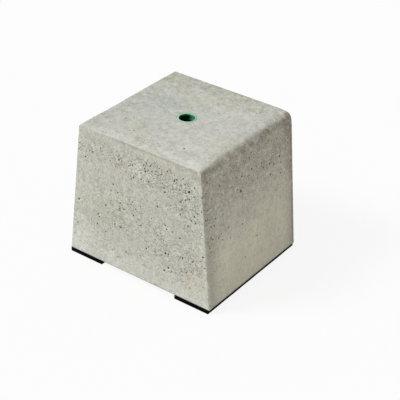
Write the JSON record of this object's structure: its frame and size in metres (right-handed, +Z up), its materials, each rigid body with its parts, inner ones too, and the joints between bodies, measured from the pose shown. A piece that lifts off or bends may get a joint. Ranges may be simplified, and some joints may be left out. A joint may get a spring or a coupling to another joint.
{
  "type": "concrete deck pier block",
  "caption": "Tapered cast concrete pier block with a blind threaded plastic socket in its flat top and rubber strips glued under its left and right sides.",
  "frame": {"origin": "on the floor, under the middle of the base: the centre of the bottom of the bounding box", "axes": "+Z up along the socket's axis, +X to the right along the tapered width, -Y to the front face"},
  "size_m": [0.1158, 0.1, 0.101],
  "materials": {
    "concrete": "cast grey concrete, matt, with small air holes on the upright faces and a smooth top",
    "socket_plastic": "green moulded polyethylene, satin",
    "strip_rubber": "black rubber sheet, slightly shiny cut edges"
  },
  "bodies": {
    "root": {"concrete_block": "concrete", "threaded_insert": "socket_plastic", "rubber_strip_left": "strip_rubber", "rubber_strip_right": "strip_rubber"}
  },
  "joints": []
}
